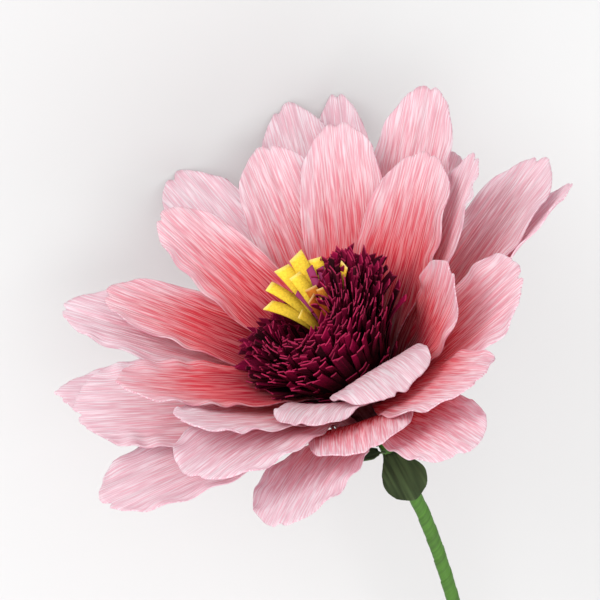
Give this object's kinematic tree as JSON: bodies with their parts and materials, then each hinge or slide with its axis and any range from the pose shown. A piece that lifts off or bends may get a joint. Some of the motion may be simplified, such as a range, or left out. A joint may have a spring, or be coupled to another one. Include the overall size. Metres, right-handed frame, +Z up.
{
  "type": "paper flower",
  "caption": "Open crepe paper peony with long pink petals, a dark cut-fringe dome, a yellow fringe and a green tape-wrapped wire stem, lying on its back petals",
  "frame": {"origin": "middle of the box's lowest level, on the surface that the flower lies on", "axes": "+Z up from that surface; +Y the longest way, from the stem's end towards the bloom"},
  "size_m": [0.1878, 0.3014, 0.161],
  "materials": {
    "petal_crepe": "matte crepe paper, coral at the foot and pale pink at the tip",
    "burgundy_crepe": "matte crepe paper, dark burgundy",
    "yellow_crepe": "matte crepe paper, yellow",
    "sepal_crepe": "matte crepe paper, dark green",
    "stem_tape": "stretched green paper tape, slightly waxed",
    "steel_wire": "bare floral wire, seen only at the cut end"
  },
  "bodies": {
    "root": {"fringe_roll": "burgundy_crepe", "inner_fringe": "burgundy_crepe", "petal_back_inner": "petal_crepe", "petal_back_inner_right": "petal_crepe", "petal_back_left_outer": "petal_crepe", "petal_back_middle": "petal_crepe", "petal_back_outer": "petal_crepe", "petal_back_outer_left": "petal_crepe", "petal_back_outer_right": "petal_crepe", "petal_back_right_middle": "petal_crepe", "petal_front": "petal_crepe", "petal_front_inner_left": "petal_crepe", "petal_front_left": "petal_crepe", "petal_front_left_inner": "petal_crepe", "petal_front_outer_left": "petal_crepe", "petal_front_outer_right": "petal_crepe", "petal_front_right": "petal_crepe", "petal_front_right_inner": "petal_crepe", "petal_left_front_outer": "petal_crepe", "petal_left_inner": "petal_crepe", "petal_left_inner_back": "petal_crepe", "petal_left_inner_front": "petal_crepe", "petal_left_middle": "petal_crepe", "petal_left_outer": "petal_crepe", "petal_left_outer_back": "petal_crepe", "petal_right_back_outer": "petal_crepe", "petal_right_inner": "petal_crepe", "petal_right_inner_back": "petal_crepe", "petal_right_outer": "petal_crepe", "petal_right_outer_back": "petal_crepe", "sepal_back": "sepal_crepe", "sepal_back_right": "sepal_crepe", "sepal_front": "sepal_crepe", "sepal_left": "sepal_crepe", "sepal_right": "sepal_crepe", "stem_wire": "steel_wire", "stem_wrap": "stem_tape", "yellow_fringe": "yellow_crepe"}
  },
  "joints": []
}
